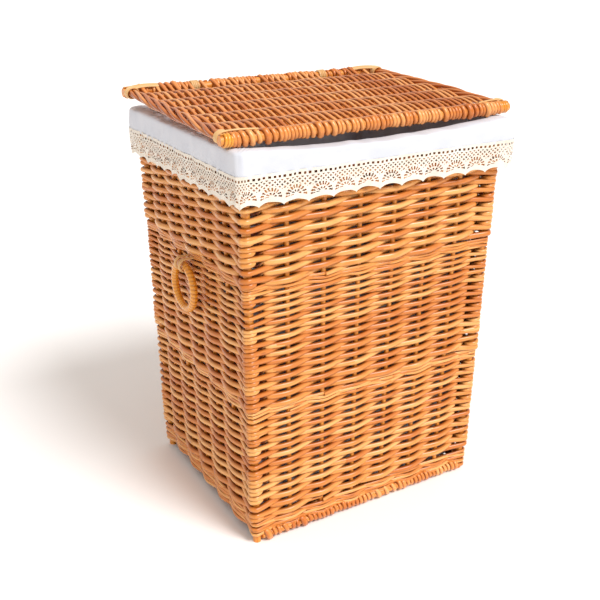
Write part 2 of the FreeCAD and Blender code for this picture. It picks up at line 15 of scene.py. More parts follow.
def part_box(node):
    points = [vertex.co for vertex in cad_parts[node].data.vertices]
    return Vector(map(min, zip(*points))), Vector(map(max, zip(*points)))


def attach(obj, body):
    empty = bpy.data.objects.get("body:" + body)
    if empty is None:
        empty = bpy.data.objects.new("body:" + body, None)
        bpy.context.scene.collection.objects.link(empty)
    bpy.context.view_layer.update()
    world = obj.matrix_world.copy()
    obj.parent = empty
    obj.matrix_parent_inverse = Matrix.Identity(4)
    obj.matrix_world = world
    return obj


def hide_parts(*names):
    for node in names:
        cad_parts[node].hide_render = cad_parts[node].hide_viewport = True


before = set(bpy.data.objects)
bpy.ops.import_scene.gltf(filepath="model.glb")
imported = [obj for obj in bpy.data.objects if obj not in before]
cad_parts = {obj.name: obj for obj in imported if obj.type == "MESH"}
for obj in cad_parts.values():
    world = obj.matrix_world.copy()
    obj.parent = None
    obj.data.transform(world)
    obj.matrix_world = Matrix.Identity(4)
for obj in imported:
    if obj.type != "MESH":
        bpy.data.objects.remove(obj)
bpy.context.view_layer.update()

MM = 0.001
BASKET, LID = "basket", "lid"
UP = (0, 0, 1)


# ---------------- sizes, from the frame


def node_box(node):
    """A node's lowest and highest corners, in millimetres."""
    return [Vector(corner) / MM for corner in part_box(node)]


def node_middle(node):
    """The middle of a node's box, in millimetres."""
    low, high = node_box(node)
    return (low + high) / 2


FRONT_STAKES = 6
SIDE_STAKES = 5
POST_RADIUS = 6
STAKE_RADIUS = 3.5
POST_LOW, POST_HIGH = node_box("corner_post_front_left")
POST_TOP = POST_HIGH.z
POST_FOOT = Vector((-POST_HIGH.x + POST_RADIUS, -POST_HIGH.y + POST_RADIUS))
POST_HEAD = Vector((-POST_LOW.x - POST_RADIUS, -POST_LOW.y - POST_RADIUS))
RIM = node_box("top_border")[1].z - 0.2
STAKE_LINE = 2.5  # the stakes stand this far outside the line between two posts
WALL_FACE = 12  # and the walls' outer face this far


def post_line(height):
    """Half the distances between the corner posts at a height, along X and Y."""
    return POST_FOOT.lerp(POST_HEAD, height / POST_TOP)


# ---------------- nodes and materials


def colour(code):
    """Linear red, green, blue and alpha from an sRGB hex value."""
    channels = [int(code[place : place + 2], 16) / 255 for place in (1, 3, 5)]
    return [c / 12.92 if c <= 0.04045 else ((c + 0.055) / 1.055) ** 2.4 for c in channels] + [1]


def add(tree, kind, sockets=None, output=0, stops=(), **settings):
    """Adds a node, with values or links for its sockets, and gives one of its outputs.

    stops are a colour ramp's, as (position, hex). The settings are the node's own properties.
    """
    node = tree.nodes.new(kind)
    for name, value in settings.items():
        setattr(node, name, value)
    for name, value in (sockets or {}).items():
        if isinstance(value, bpy.types.NodeSocket):
            tree.links.new(value, node.inputs[name])
        else:
            node.inputs[name].default_value = value
    while stops and len(node.color_ramp.elements) < len(stops):
        node.color_ramp.elements.new(0.5)
    for number, (position, code) in enumerate(stops):
        node.color_ramp.elements[number].position = position
        node.color_ramp.elements[number].color = colour(code)
    return node.outputs[output] if node.outputs else None


def new_material(name, **shader_values):
    """An empty material with a Principled shader. Values go on the shader's own sockets."""
    material = bpy.data.materials.new(name)
    material.use_nodes = True
    tree = material.node_tree
    tree.nodes.clear()
    values = {key.replace("_", " "): value for key, value in shader_values.items()}
    surface = add(tree, "ShaderNodeBsdfPrincipled", values)
    add(tree, "ShaderNodeOutputMaterial", {"Surface": surface})
    return material, tree, surface.node


GRAIN_RADIUS = 3.5  # a rod's radius in its own grain coordinates
GRAIN_GAP = 900  # how far apart in those coordinates the rods can lie


def rod_values(tree):
    """What each rod's mesh carries: how far along it is, its number, and the cosine and sine round it."""
    names = ("along", "rod", "facing", "flank")
    return [add(tree, "ShaderNodeAttribute", attribute_name=name, output="Fac") for name in names]


def rod_grain(tree, along, rod, facing, flank):
    """Coordinates inside a rod, in millimetres: along it and across it, with each rod in wood of its own."""
    first = add(tree, "ShaderNodeMath", {0: facing, 1: GRAIN_RADIUS}, operation="MULTIPLY")
    number = add(tree, "ShaderNodeMath", {0: rod, 1: GRAIN_GAP}, operation="MULTIPLY")
    second = add(tree, "ShaderNodeMath", {0: flank, 1: GRAIN_RADIUS, 2: number}, operation="MULTIPLY_ADD")
    return add(tree, "ShaderNodeCombineXYZ", {0: along, 1: first, 2: second})


# How each pattern on a rod is stretched, for every millimetre along it and in both ways across it.
FIBRE_SCALE = (0.03, 0.25, 0.25)
KNOT_SCALE = (0.022, 0.12, 0.12)
RIDGE_SCALE = (0.05, 1.2, 1.2)


def varnished_willow(
    name, stops, painted_shade, rod_share, roughness, coat, knots=True, both_faces=False, painted_shade_strength=0.95
):
    """Peeled willow under clear varnish: each rod its own honey tone, long fibres, and small dark knots.

    Shade is painted on: a rod's flanks, where rods touch, take the painted_shade colour, and its inner face
    too unless both faces show. painted_shade_strength is how strong that painted shade gets, and rod_share
    how much of the tone is the rod's own and not its fibres'.
    """
    material, tree, shader = new_material(
        name, Roughness=roughness, Coat_Weight=coat, Coat_Roughness=0.3, Specular_IOR_Level=0.3
    )
    along, rod, facing, flank = rod_values(tree)
    grain = rod_grain(tree, along, rod, facing, flank)
    place = add(tree, "ShaderNodeMapping", {"Vector": grain, "Scale": FIBRE_SCALE})
    fibres = add(tree, "ShaderNodeTexNoise", {"Vector": place, "Scale": 1.6, "Detail": 3, "Roughness": 0.5})
    fibres = add(tree, "ShaderNodeMath", {0: fibres, 1: 1 - rod_share}, operation="MULTIPLY")
    mixed = add(tree, "ShaderNodeMath", {0: rod, 1: rod_share, 2: fibres}, operation="MULTIPLY_ADD")
    tone = add(tree, "ShaderNodeValToRGB", {"Fac": mixed}, stops=stops)
    if knots:
        place = add(tree, "ShaderNodeMapping", {"Vector": grain, "Scale": KNOT_SCALE})
        distance = add(tree, "ShaderNodeTexVoronoi", {"Vector": place, "Scale": 1.0}, feature="F1")
        near = {"Value": distance, "From Min": 0.05, "From Max": 0.16, "To Min": 0.55, "To Max": 0.0}
        spot = add(tree, "ShaderNodeMapRange", near)
        tone = add(tree, "ShaderNodeMix", {0: spot, 6: tone, 7: colour("#8A3F12")}, 2, data_type="RGBA")
    if both_faces:
        facing = add(tree, "ShaderNodeMath", {0: facing, 1: 0}, operation="ABSOLUTE")
    # Painted shade: the rod's flanks and inner face are darkened, as shade falls between touching rods.
    low = {"Value": facing, "From Min": 0.92, "From Max": -0.25, "To Min": 0.0, "To Max": painted_shade_strength}
    painted_shade_mask = add(tree, "ShaderNodeMapRange", low)
    tone = add(tree, "ShaderNodeMix", {0: painted_shade_mask, 6: tone, 7: colour(painted_shade)}, 2, data_type="RGBA")
    tree.links.new(tone, shader.inputs["Base Color"])
    place = add(tree, "ShaderNodeMapping", {"Vector": grain, "Scale": RIDGE_SCALE})
    ridges = add(tree, "ShaderNodeTexNoise", {"Vector": place, "Scale": 2.2, "Detail": 3})
    bump = add(tree, "ShaderNodeBump", {"Height": ridges, "Strength": 0.18, "Distance": 0.0004})
    tree.links.new(bump, shader.inputs["Normal"])
    return material


def plain_stick(name, stops, along):
    """The same willow on a straight stick. The grain runs along one axis of the object's coordinates."""
    material, tree, shader = new_material(name, Roughness=0.4, Coat_Weight=0.35, Coat_Roughness=0.22)
    place = add(tree, "ShaderNodeTexCoord", output="Object")
    stretch = [260, 260, 260]  # fibres in a metre across the stick, just under 4 mm each
    stretch["XYZ".index(along)] = 14  # and along it, about 70 mm each
    place = add(tree, "ShaderNodeMapping", {"Vector": place, "Scale": stretch})
    fibres = add(tree, "ShaderNodeTexNoise", {"Vector": place, "Scale": 1, "Detail": 5})
    tone = add(tree, "ShaderNodeValToRGB", {"Fac": fibres}, stops=stops)
    tree.links.new(tone, shader.inputs["Base Color"])
    bump = add(tree, "ShaderNodeBump", {"Height": fibres, "Strength": 0.3, "Distance": 0.0006})
    tree.links.new(bump, shader.inputs["Normal"])
    return material


WAVE_PERIOD = 0.314  # a wave texture of scale 1 repeats after this distance


def cloth(name, base, shade, spacing, roughness, strength):
    """Cotton: two crossed sets of threads as bump, and a faint change of tone where threads are thicker.

    spacing is from thread to thread, in millimetres. strength is how much the threads stand out.
    """
    material, tree, shader = new_material(name, Roughness=roughness, Sheen_Weight=0.25)
    place = add(tree, "ShaderNodeUVMap", uv_map="UVMap")
    waves = []
    for way in ("X", "Y"):
        thread = {"Vector": place, "Scale": WAVE_PERIOD / (spacing * MM), "Distortion": 0.6, "Detail": 1}
        waves.append(add(tree, "ShaderNodeTexWave", thread, "Fac", bands_direction=way))
    threads = add(tree, "ShaderNodeMath", {0: waves[0], 1: waves[1]}, operation="MULTIPLY")
    slubs = add(tree, "ShaderNodeTexNoise", {"Vector": place, "Scale": 28, "Detail": 5})
    tone = add(tree, "ShaderNodeValToRGB", {"Fac": slubs}, stops=[(0.3, shade), (0.65, base)])
    tree.links.new(tone, shader.inputs["Base Color"])
    bump = add(tree, "ShaderNodeBump", {"Height": threads, "Strength": strength, "Distance": 0.0004})
    tree.links.new(bump, shader.inputs["Normal"])
    return material


# Thin whole willow, boiled and varnished: honey to orange, glossy along the crest of each rod.
WILLOW = varnished_willow(
    "varnished_willow",
    [(0.25, "#CC7529"), (0.5, "#E09140"), (0.75, "#EFB066")],
    # The dark colour below is painted shade for each rod's flanks and inner face.
    painted_shade="#7E3004",
    rod_share=0.5,
    roughness=0.33,
    coat=0.55,
)
# The same rods where both faces of the work are seen, on the lid and the base: a little redder, and lighter
# as painted light for the lid's top, which faces the light.
LID_WILLOW = varnished_willow(
    "varnished_willow_lid",
    [(0.25, "#C66A20"), (0.5, "#E69044"), (0.75, "#F6AE68")],
    # The dark colour below is painted shade for each rod's flanks.
    painted_shade="#7E3206",
    rod_share=0.5,
    roughness=0.32,
    coat=0.5,
    both_faces=True,
)
# Split cane round the rings and the lid's stick ends: glossier, more even and more golden than willow.
CANE = varnished_willow(
    "golden_cane",
    [(0.2, "#D07C12"), (0.5, "#EE9B24"), (0.8, "#F9B94C")],
    # The dark colour below is painted shade for each wrap's flanks and inner face.
    painted_shade="#8A3E04",
    rod_share=0.3,
    roughness=0.22,
    coat=0.8,
    knots=False,
)
# The lid's corner bindings, the hinge loops and the rings' loops are cane with its pale skin left on: duller.
PALE_CANE = varnished_willow(
    "pale_cane",
    [(0.2, "#D8A25E"), (0.5, "#E6BC82"), (0.8, "#F0D2A2")],
    # The dark colour below is a light painted shade for each cane's flanks.
    painted_shade="#A8682A",
    rod_share=0.3,
    roughness=0.4,
    coat=0.2,
    knots=False,
    both_faces=True,
    painted_shade_strength=0.4,
)
# Posts, stakes and sticks are thicker willow of the same finish, with the grain along them.
UPRIGHT = plain_stick("willow_stake", [(0.3, "#CF741A"), (0.6, "#EE9C38"), (0.8, "#F6B356")], "Z")
LEVEL = plain_stick("willow_stick", [(0.3, "#C87020"), (0.6, "#E8983C"), (0.8, "#F4B45E")], "X")
# Bleached plain-weave cotton. Its threads are finer than can be seen, so they are drawn 1.4 mm apart.
COTTON = cloth("bleached_cotton", "#D7DAE2", "#CDD1DB", spacing=1.4, roughness=0.9, strength=0.25)
# Unbleached crochet cotton: cream, with a coarser twisted thread.
LACE = cloth("crochet_cotton", "#EFE8DC", "#E2D8C8", spacing=2.2, roughness=0.95, strength=0.5)
FLOOR = new_material("pale_floor", Base_Color=colour("#FAFAFA"), Roughness=0.8)[0]


# ---------------- rods from lines


def rods_tree():
    """Turns lines into rods. Each rod is flattened along the side that its points carry."""
    tree = bpy.data.node_groups.new("rods", "GeometryNodeTree")
    for name, kind, way in (
        ("Geometry", "NodeSocketGeometry", "INPUT"),
        ("Sides", "NodeSocketInt", "INPUT"),
        ("Steps", "NodeSocketInt", "INPUT"),
        ("Flatness", "NodeSocketFloat", "INPUT"),
        ("Unevenness", "NodeSocketFloat", "INPUT"),
        ("Seed", "NodeSocketFloat", "INPUT"),
        ("Material", "NodeSocketMaterial", "INPUT"),
        ("Geometry", "NodeSocketGeometry", "OUTPUT"),
    ):
        tree.interface.new_socket(name, in_out=way, socket_type=kind)
    given = add(tree, "NodeGroupInput").node.outputs

    line = add(tree, "GeometryNodeMeshToCurve", {0: given["Geometry"]})
    line = add(tree, "GeometryNodeCurveSplineType", {0: line}, spline_type="CATMULL_ROM")
    line = add(tree, "GeometryNodeSetSplineResolution", {0: line, "Resolution": given["Steps"]})
    side = add(tree, "GeometryNodeInputNamedAttribute", {"Name": "side"}, data_type="FLOAT_VECTOR")
    line = add(tree, "GeometryNodeSetCurveNormal", {0: line, "Normal": side}, mode="FREE")

    thick = add(tree, "GeometryNodeInputNamedAttribute", {"Name": "thick"}, data_type="FLOAT")
    place = {"W": given["Seed"], "Scale": 45, "Detail": 1}
    lumps = add(tree, "ShaderNodeTexNoise", place, noise_dimensions="4D")
    lumps = add(tree, "ShaderNodeMath", {0: lumps, 1: 0.5}, operation="SUBTRACT")
    uneven = {0: lumps, 1: given["Unevenness"], 2: 1}
    uneven = add(tree, "ShaderNodeMath", uneven, operation="MULTIPLY_ADD")
    radius = add(tree, "ShaderNodeMath", {0: thick, 1: uneven}, operation="MULTIPLY")

    circle = add(tree, "GeometryNodeCurvePrimitiveCircle", {"Resolution": given["Sides"], "Radius": 1.0})
    squash = add(tree, "ShaderNodeCombineXYZ", {0: given["Flatness"], 1: 1.0, 2: 1.0})
    section = add(tree, "GeometryNodeTransform", {0: circle, "Scale": squash})
    turn = add(tree, "GeometryNodeSplineParameter", output="Factor")
    turn = add(tree, "ShaderNodeMath", {0: turn, 1: math.tau}, operation="MULTIPLY")
    # facing is 1 on the side that the rod's points carry, and flank is 1 a quarter turn from it.
    for name, operation in (("facing", "COSINE"), ("flank", "SINE")):
        value = add(tree, "ShaderNodeMath", {0: turn}, operation=operation)
        kept = {0: section, "Name": name, "Value": value}
        section = add(tree, "GeometryNodeStoreNamedAttribute", kept, data_type="FLOAT", domain="POINT")

    tube = {"Curve": line, "Profile Curve": section, "Scale": radius, "Fill Caps": True}
    mesh = add(tree, "GeometryNodeCurveToMesh", tube)
    mesh = add(tree, "GeometryNodeSetShadeSmooth", {0: mesh})
    mesh = add(tree, "GeometryNodeRealizeInstances", {0: mesh})
    mesh = add(tree, "GeometryNodeSetMaterial", {0: mesh, "Material": given["Material"]})
    add(tree, "NodeGroupOutput", {0: mesh})
    return tree


RODS = rods_tree()


def new_object(name, data):
    """A new object in the scene."""
    thing = bpy.data.objects.new(name, data)
    bpy.context.scene.collection.objects.link(thing)
    return thing


def finished(maker, name, material):
    """The plain mesh that an object's modifiers give, as a new object with one material."""
    graph = bpy.context.evaluated_depsgraph_get()
    shape = maker.evaluated_get(graph)
    mesh = bpy.data.meshes.new_from_object(shape, preserve_all_data_layers=True, depsgraph=graph)
    bpy.data.objects.remove(maker)
    mesh.name = name
    mesh.materials.clear()
    mesh.materials.append(material)
    return new_object(name, mesh)


ROD_SIDES = 8


def make_rods(name, lines, material, steps=4, flatness=1, unevenness=0.22):
    """Makes one piece of many rods. A line is a list of (point, radius, side), in millimetres."""
    draw = random.Random(name)
    points, edges, thick, along, rod, sideways = [], [], [], [], [], []
    for line in lines:
        number = draw.random()
        start = len(points)
        length = draw.uniform(0, 4000)
        for step, (point, radius, side) in enumerate(line):
            if step:
                length += (Vector(point) - Vector(line[step - 1][0])).length
                edges.append((start + step - 1, start + step))
            points.append(Vector(point) * MM)
            thick.append(radius * MM)
            along.append(length)
            rod.append(number)
            sideways.extend(side)
    mesh = bpy.data.meshes.new(name + "_lines")
    mesh.from_pydata(points, edges, [])
    for attribute, values in (("thick", thick), ("along", along), ("rod", rod)):
        mesh.attributes.new(attribute, "FLOAT", "POINT").data.foreach_set("value", values)
    mesh.attributes.new("side", "FLOAT_VECTOR", "POINT").data.foreach_set("vector", sideways)
    maker = new_object(name + "_maker", mesh)
    modifier = maker.modifiers.new("rods", "NODES")
    modifier.node_group = RODS
    values = {
        "Sides": ROD_SIDES,
        "Steps": steps,
        "Flatness": flatness,
        "Unevenness": unevenness,
        "Seed": draw.uniform(0, 50),
        "Material": material,
    }
    for socket in RODS.interface.items_tree:
        if socket.in_out == "INPUT" and socket.name in values:
            modifier[socket.identifier] = values[socket.name]
    return finished(maker, name, material)


def dress(piece, body, slot, *nodes):
    """Rides a piece on its body and hides the CAD nodes that it stands for."""
    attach(piece, body)
    if nodes:
        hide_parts(*nodes)


# ---------------- walls

WALLS = [  # stakes in the wall, its direction, and outwards
    (FRONT_STAKES, Vector((1, 0)), Vector((0, -1))),
    (SIDE_STAKES, Vector((0, 1)), Vector((1, 0))),
    (FRONT_STAKES, Vector((-1, 0)), Vector((0, 1))),
    (SIDE_STAKES, Vector((0, -1)), Vector((-1, 0))),
]
ROUND = sum(stakes + 1 for stakes, _, _ in WALLS)  # spaces between stakes or posts, once round


def find_wall(place):
    """The wall that a place is in, and how many spaces past the wall's first post it is."""
    place %= ROUND
    for wall, (stakes, _, _) in enumerate(WALLS):
        if place < stakes + 1:
            return wall, place
        place -= stakes + 1


def wall_point(place, height, out):
    """A point of the walls: spaces round from the front left post, height, and how far outside the stakes."""
    wall, spaces = find_wall(place)
    stakes, way, outwards = WALLS[wall]
    half = post_line(height)
    reach = abs(half.dot(Vector((abs(way.x), abs(way.y)))))
    across = abs(half.dot(Vector((abs(outwards.x), abs(outwards.y)))))
    flat = way * (reach * (2 * spaces / (stakes + 1) - 1)) + outwards * (across + STAKE_LINE + out)
    return Vector((flat.x, flat.y, height))


def post_turn(place, height, radius, outside, rise):
    """Where a rod passes a corner post. Outside, a rise above 0 gives it one more turn round the post."""
    wall, _ = find_wall(place)
    before, after = WALLS[wall - 1][2], WALLS[wall][2]
    diagonal = before + after
    half = post_line(height)
    corner = Vector((math.copysign(half.x, diagonal.x), math.copysign(half.y, diagonal.y)))
    reach = POST_RADIUS + radius * 0.55
    steps = [5]  # eighths of a turn: the fifth points to the basket's middle
    if outside:
        steps = range(11) if rise else range(3)
    line = []
    for step in steps:
        angle = math.radians(45 * step)
        way = before * math.cos(angle) + after * math.sin(angle)
        climb = rise * (step / 10 - 0.5) if rise else 0
        line.append((Vector((*(corner + way * reach), height + climb)), radius, (way.x, way.y, 0)))
    return line


def weave_rod(start, end, in_front, height, radius, draw, turns=0.0):
    """A rod worked from one place to another. in_front, height and radius are functions of the place.

    turns is the share of corner posts that the rod winds round once more, and so fills the post's height.
    """
    line = []
    wander = draw.uniform(-30, 30)
    for half_step in range(2 * start, 2 * end + 1):
        place = half_step / 2
        r = radius(place)
        sway = noise.noise((place * 0.45, wander, 0)) * 1.5
        z = height(place) + sway
        fade = min(1, 0.55 + 0.45 * min(place - start, end - place))
        wall, spaces = find_wall(place)
        out = WALLS[wall][2]
        side = (out.x, out.y, 0)
        if half_step % 2:
            line.append((wall_point(place, z, noise.noise((place, wander, 5)) * 0.8), r * fade, side))
        elif spaces == 0:
            outside = in_front(int(place))
            inner = start < place < end
            rise = r * 1.75 if outside and inner and draw.random() < turns else 0
            line += post_turn(int(place), z, r * 0.88 * fade, outside, rise)
        else:
            swing = STAKE_RADIUS + r * 0.75 - 1.5  # pressed a little into the stake
            line.append((wall_point(place, z, swing if in_front(int(place)) else -swing), r * fade, side))
    return line


STRANDS = 12  # rods that climb side by side, so that each meets the next one after a round
SLANT = STRANDS / ROUND  # how many layers a rod climbs from one stake to the next
ROD_SPACES = 20  # how many spaces a rod is long


def rand_lines(bottom, top, layers, thick, taper, seed):
    """A band of slanted rand. Its rods are thicker at its foot than at its head, and layers alternate."""
    draw = random.Random(seed)
    lines = []

    def height(layer):
        share = layer / layers
        return bottom + (top - bottom) * (share + taper * share * (1 - share))

    for strand in range(STRANDS):
        # Rods begin a little below the band and end a little above it, so that no gap shows at its edges.
        start = math.ceil((-1.2 - strand) / SLANT)
        last = math.floor((layers + 0.6 - strand) / SLANT)
        stop = start + draw.randint(4, ROD_SPACES)
        while start < last:
            while (stop + strand) % 2 == 0:
                stop += 1
            stop = min(stop, last)
            own = draw.uniform(0.9, 1.08)

            def radius(place, strand=strand, start=start, own=own):
                share = (strand + place * SLANT) / layers
                worn = 1.07 - 0.16 * (place - start) / ROD_SPACES
                return 0.5 * thick * (1 + taper * (1 - 2 * share)) * own * worn

            line = weave_rod(
                start,
                stop,
                lambda place, strand=strand: (place + strand) % 2 == 0,
                lambda place, strand=strand: height(strand + place * SLANT),
                radius,
                draw,
                turns=0.75,
            )
            lines.append(line)
            if stop == last:
                break
            start = stop - 2
            stop = start + ROD_SPACES + draw.randint(-3, 3)
    return lines


WALE_RADIUS = 3.3  # about the most that a wale's rods have
WALE_SHARE = 0.245  # and their radius as a share of the height that each round takes


def wale_lines(bottom, top, rounds, seed):
    """A wale of three rods. Each passes before two stakes and behind one, so that it lies like a rope."""
    draw = random.Random(seed)
    lines = []
    steps = (0, 0.25, -0.25)
    for number in range(3):
        own = draw.uniform(0.93, 1.06)

        def height(place, number=number):
            low = math.floor(place)
            share = place - low
            step = steps[(low + number) % 3] * (1 - share) + steps[(low + 1 + number) % 3] * share
            low_edge, high_edge = bottom(place), top(place)
            grown = (place - number) / (ROUND * rounds)
            spacing = (high_edge - low_edge) / rounds
            return low_edge + spacing * (0.5 + (rounds - 1) * grown + step)

        def radius(place, own=own):
            spacing = (top(place) - bottom(place)) / rounds
            return own * min(WALE_RADIUS, WALE_SHARE * spacing)

        lines.append(
            weave_rod(
                number,
                ROUND * rounds + number,
                lambda place, number=number: (place + number) % 3 != 0,
                height,
                radius,
                draw,
            )
        )
    return lines


FOOT = 2.3  # the foot wale's lower edge at the corners, where its rods meet the floor
FRONT_FOOT = node_box("foot_wale")[0].z


def foot_edge(place):
    """The lowest line of the walls. It meets the floor at the corners and arches along the sides."""
    wall, spaces = find_wall(place)
    stakes = WALLS[wall][0]
    near = min(spaces, stakes + 1 - spaces)
    if wall % 2 == 0:
        return FOOT + (FRONT_FOOT - FOOT) * min(1, near / 1.2) ** 0.7
    if near == 0:
        return FOOT
    from_back = (stakes + 1 - spaces if wall == 1 else spaces) / (stakes + 1)
    arch = 5 * math.exp(-(((from_back - 0.22) / 0.13) ** 2))
    return FOOT + 1.5 + arch


def walls():
    """The woven bands, from the floor up."""
    lower, low_wale, middle, high_wale, upper, head = [
        node_box(node)[1].z
        for node in ("foot_wale", "lower_weave", "lower_wale", "middle_weave", "middle_wale", "upper_weave")
    ]
    bands = (
        ("foot_wale", wale_lines(foot_edge, lambda place: lower + 2, rounds=3, seed=1)),
        ("lower_weave", rand_lines(lower + 2, low_wale + 1, layers=24, thick=8.7, taper=0.14, seed=2)),
        ("lower_wale", wale_lines(lambda place: low_wale - 1, lambda place: middle + 2, rounds=2, seed=3)),
        ("middle_weave", rand_lines(middle + 2, high_wale + 1, layers=28, thick=7.8, taper=0.2, seed=4)),
        ("middle_wale", wale_lines(lambda place: high_wale - 1, lambda place: upper + 2, rounds=2, seed=5)),
        ("upper_weave", rand_lines(upper + 2, head, layers=22, thick=9.1, taper=0.06, seed=6)),
    )
    for node, lines in bands:
        rods = make_rods(node + "_rods", lines, WILLOW, flatness=0.92, unevenness=0.14)
        dress(rods, BASKET, "willow", node)


def stray_tips():
    """Rod ends that were not trimmed flush at the front right post."""
    draw = random.Random(5)
    lines = []
    for height in (100, 236, 418):
        half = post_line(height)
        start = Vector((half.x + 4, -half.y + 3, height))
        end = start + Vector((draw.uniform(9, 12), draw.uniform(1, 4), draw.uniform(-5, 3)))
        lines.append([(start, 1.8, UP), (start.lerp(end, 0.5), 1.6, UP), (end, 1.2, UP)])
    dress(make_rods("stray_tips", lines, WILLOW), BASKET, "willow")


RIM_SAG = 8.5  # the front of the rim bows down this far in its middle


def rim_sag(point):
    """How far the rim is bowed down at a point."""
    share = max(-1, min(1, point.x / post_line(RIM).x))
    front = max(0, min(1, (-point.y - post_line(RIM).y * 0.6) / (post_line(RIM).y * 0.3)))
    return RIM_SAG * front * math.cos(share * math.pi / 2) ** 0.8 if abs(share) < 1 else 0


def border():
    """The border that the cloth is folded over: rods that wind round each other along the rim."""
    rods, turns, coil, radius = 6, 26, 6.2, 3.4
    middle = (POST_TOP + RIM) / 2
    lines = []
    for number in range(rods):
        line = []
        for step in range(ROUND * 8 + 1):
            place = step / 8
            angle = math.tau * (turns * place / ROUND + number / rods)
            point = wall_point(place, middle + 1.2 * coil * math.sin(angle), coil * math.cos(angle) - 1)
            point.z -= rim_sag(point)
            line.append((point, radius, UP))
        lines.append(line)
    dress(make_rods("top_border_rods", lines, WILLOW, steps=2), BASKET, "willow", "top_border")


# ---------------- panels on sticks: lid and base


def panel_lines(half_width, rows, stick, edge, thick, passes, flatness, turns, seed):
    """Rods woven back and forth over a row of sticks, and round the end sticks.

    rows are the sticks' places along Y, front first. stick is the inner sticks' radius and edge the end
    sticks'. thick is a rod's usual thickness. turns is the share of passes that end in one more turn round
    the end stick.
    """
    draw = random.Random(seed)
    gap = 2 * half_width / passes
    lines = []
    line = []
    left = draw.randint(3, 6)
    full = left
    for number in range(passes):
        own = thick / 2 * (1.15 - 0.32 * (1 - left / full)) * draw.uniform(0.88, 1.08)
        x = -half_width + gap * (number + 0.5)
        order = list(range(len(rows) - 1, -1, -1) if number % 2 == 0 else range(len(rows)))
        lean = draw.uniform(-0.9, 0.9)
        for step, row in enumerate(order[:-1]):
            over = (number + row) % 2 == 0
            swing = stick + own * flatness - 1.2  # pressed a little into the stick
            here, after = rows[row], rows[order[step + 1]]
            if 0 < row < len(rows) - 1:
                bend = x + lean + draw.uniform(-0.7, 0.7)
                line.append((Vector((bend, here, swing if over else -swing)), own, UP))
            line.append((Vector((x + draw.uniform(-0.6, 0.6), (here + after) / 2, 0)), own, UP))
        end = order[-1]
        begin_angle = 90 if end == 0 else 270
        wound = draw.random() < turns
        spread = gap * (1.5 if wound else 0.9)
        shift = draw.uniform(-0.6, 0.6)
        steps = 12 if wound else 4
        for turn in range(steps + 1):
            angle = math.radians(begin_angle + 45 * turn)
            radius = edge + own * flatness - 1.6
            across = x + gap / 2 + shift + spread * (turn / steps - 0.5)
            way = Vector((0, math.cos(angle), math.sin(angle)))
            line.append((Vector((across, rows[end], 0)) + way * radius, own * (1.05 if wound else 1.45), way))
        left -= 1
        if left <= 0:
            lines.append(line)
            line = []
            left = full = draw.randint(3, 6)
    if line:
        lines.append(line)
    return lines


def base():
    """The base's weave, wound round its front and back sticks."""
    middle = node_middle("base_weave")
    front, back = node_middle("base_front_stick"), node_middle("base_back_stick")
    rows = [front.y + (back.y - front.y) * step / 6 for step in range(7)]
    half = node_box("base_front_stick")[1].x - 1
    lift = Vector((0, 0, middle.z + 1))
    lines = panel_lines(
        half, rows, stick=4, edge=4.8, thick=6.2, passes=48, flatness=0.8, turns=0.6, seed=11
    )
    lines = [[(point + lift, radius, side) for point, radius, side in line] for line in lines]
    rods = make_rods("base_rods", lines, LID_WILLOW, flatness=0.8, steps=3)
    dress(rods, BASKET, "willow", "base_weave")


LID_BACK = node_middle("lid_back_stick")
LID_FRONT = node_middle("lid_front_stick")
LID_DEPTH = (LID_BACK - LID_FRONT).length
LID_TILT = math.atan2(LID_BACK.z - LID_FRONT.z, LID_BACK.y - LID_FRONT.y)
LID_ROWS = 7
LID_STICK_END = node_box("lid_front_stick")[1].x
LID_TURN = Matrix.Rotation(LID_TILT, 3, "X")


def on_lid(lines):
    """Lines drawn flat about the lid's back stick, tilted to where the closed lid lies."""
    tilted = []
    for line in lines:
        tilted.append([(LID_BACK + LID_TURN @ Vector(p), r, LID_TURN @ Vector(side)) for p, r, side in line])
    return tilted


LOOP_ROOM = 9.5  # half the width that a hinge loop is given on the back stick
LOOP_DEPTH = 13  # and how far in front of the stick's middle


def without_loops(lines, places):
    """Cuts lines where a hinge loop holds the back stick, since no rod is wound round it there."""
    kept = []
    for line in lines:
        part = []
        for item in line:
            point = item[0]
            if point.y > -LOOP_DEPTH and any(abs(point.x - x) < LOOP_ROOM for x in places):
                kept.append(part)
                part = []
            else:
                part.append(item)
        kept.append(part)
    return [part for part in kept if len(part) > 2]


def lid_twist(side, half):
    """Long rods twisted round each other along one of the lid's short edges."""
    draw = random.Random(side)
    edges = []
    rods, steps = 5, 28
    for number in range(rods):
        line = []
        thick = draw.uniform(2.5, 3.1)
        wander = draw.uniform(0, 40)
        for step in range(steps + 1):
            share = step / steps
            angle = side * (math.tau * 1.7 * share + math.tau * number / rods)
            coil = 5.6 + 2.4 * noise.noise((share * 6, wander, 0)) - 2 * abs(2 * share - 1) ** 6
            y = -LID_DEPTH + 6 + (LID_DEPTH - 12) * share
            x = side * (half + 4) + 1.15 * coil * math.cos(angle)
            line.append((Vector((x, y, 0.8 * coil * math.sin(angle) + 2)), thick, UP))
        edges.append(line)
    return edges


def lid_binding(side, y, half):
    """A cane that ties the twisted edge to a stick, then runs along the stick's top over the first turns."""
    inwards = -1 if y == 0 else 1
    lines = []
    for number in range(4):
        ring = []
        place = y + inwards * (8 + 2.6 * number)
        for step in range(13):
            angle = math.tau * step / 10
            way = Vector((math.cos(angle), 0, math.sin(angle)))
            centre = Vector((side * (half + 3.5), place + 2 * math.cos(angle + 1), 1.5))
            ring.append((centre + Vector((way.x * 9.4, 0, way.z * 8)), 2.0, way))
        lines.append(ring)
    for number in range(3):
        strip = []
        for step in range(7):
            x = side * (half + 6 - 8 * step)
            rise = 9.4 + 1.3 * math.sin(math.pi * step / 6)
            place = y + inwards * (8 - 6 * math.sin(math.pi * step / 12) + 2.8 * number)
            strip.append((Vector((x, place, rise - 1.2 * number)), 2.0, UP))
        lines.append(strip)
    return lines


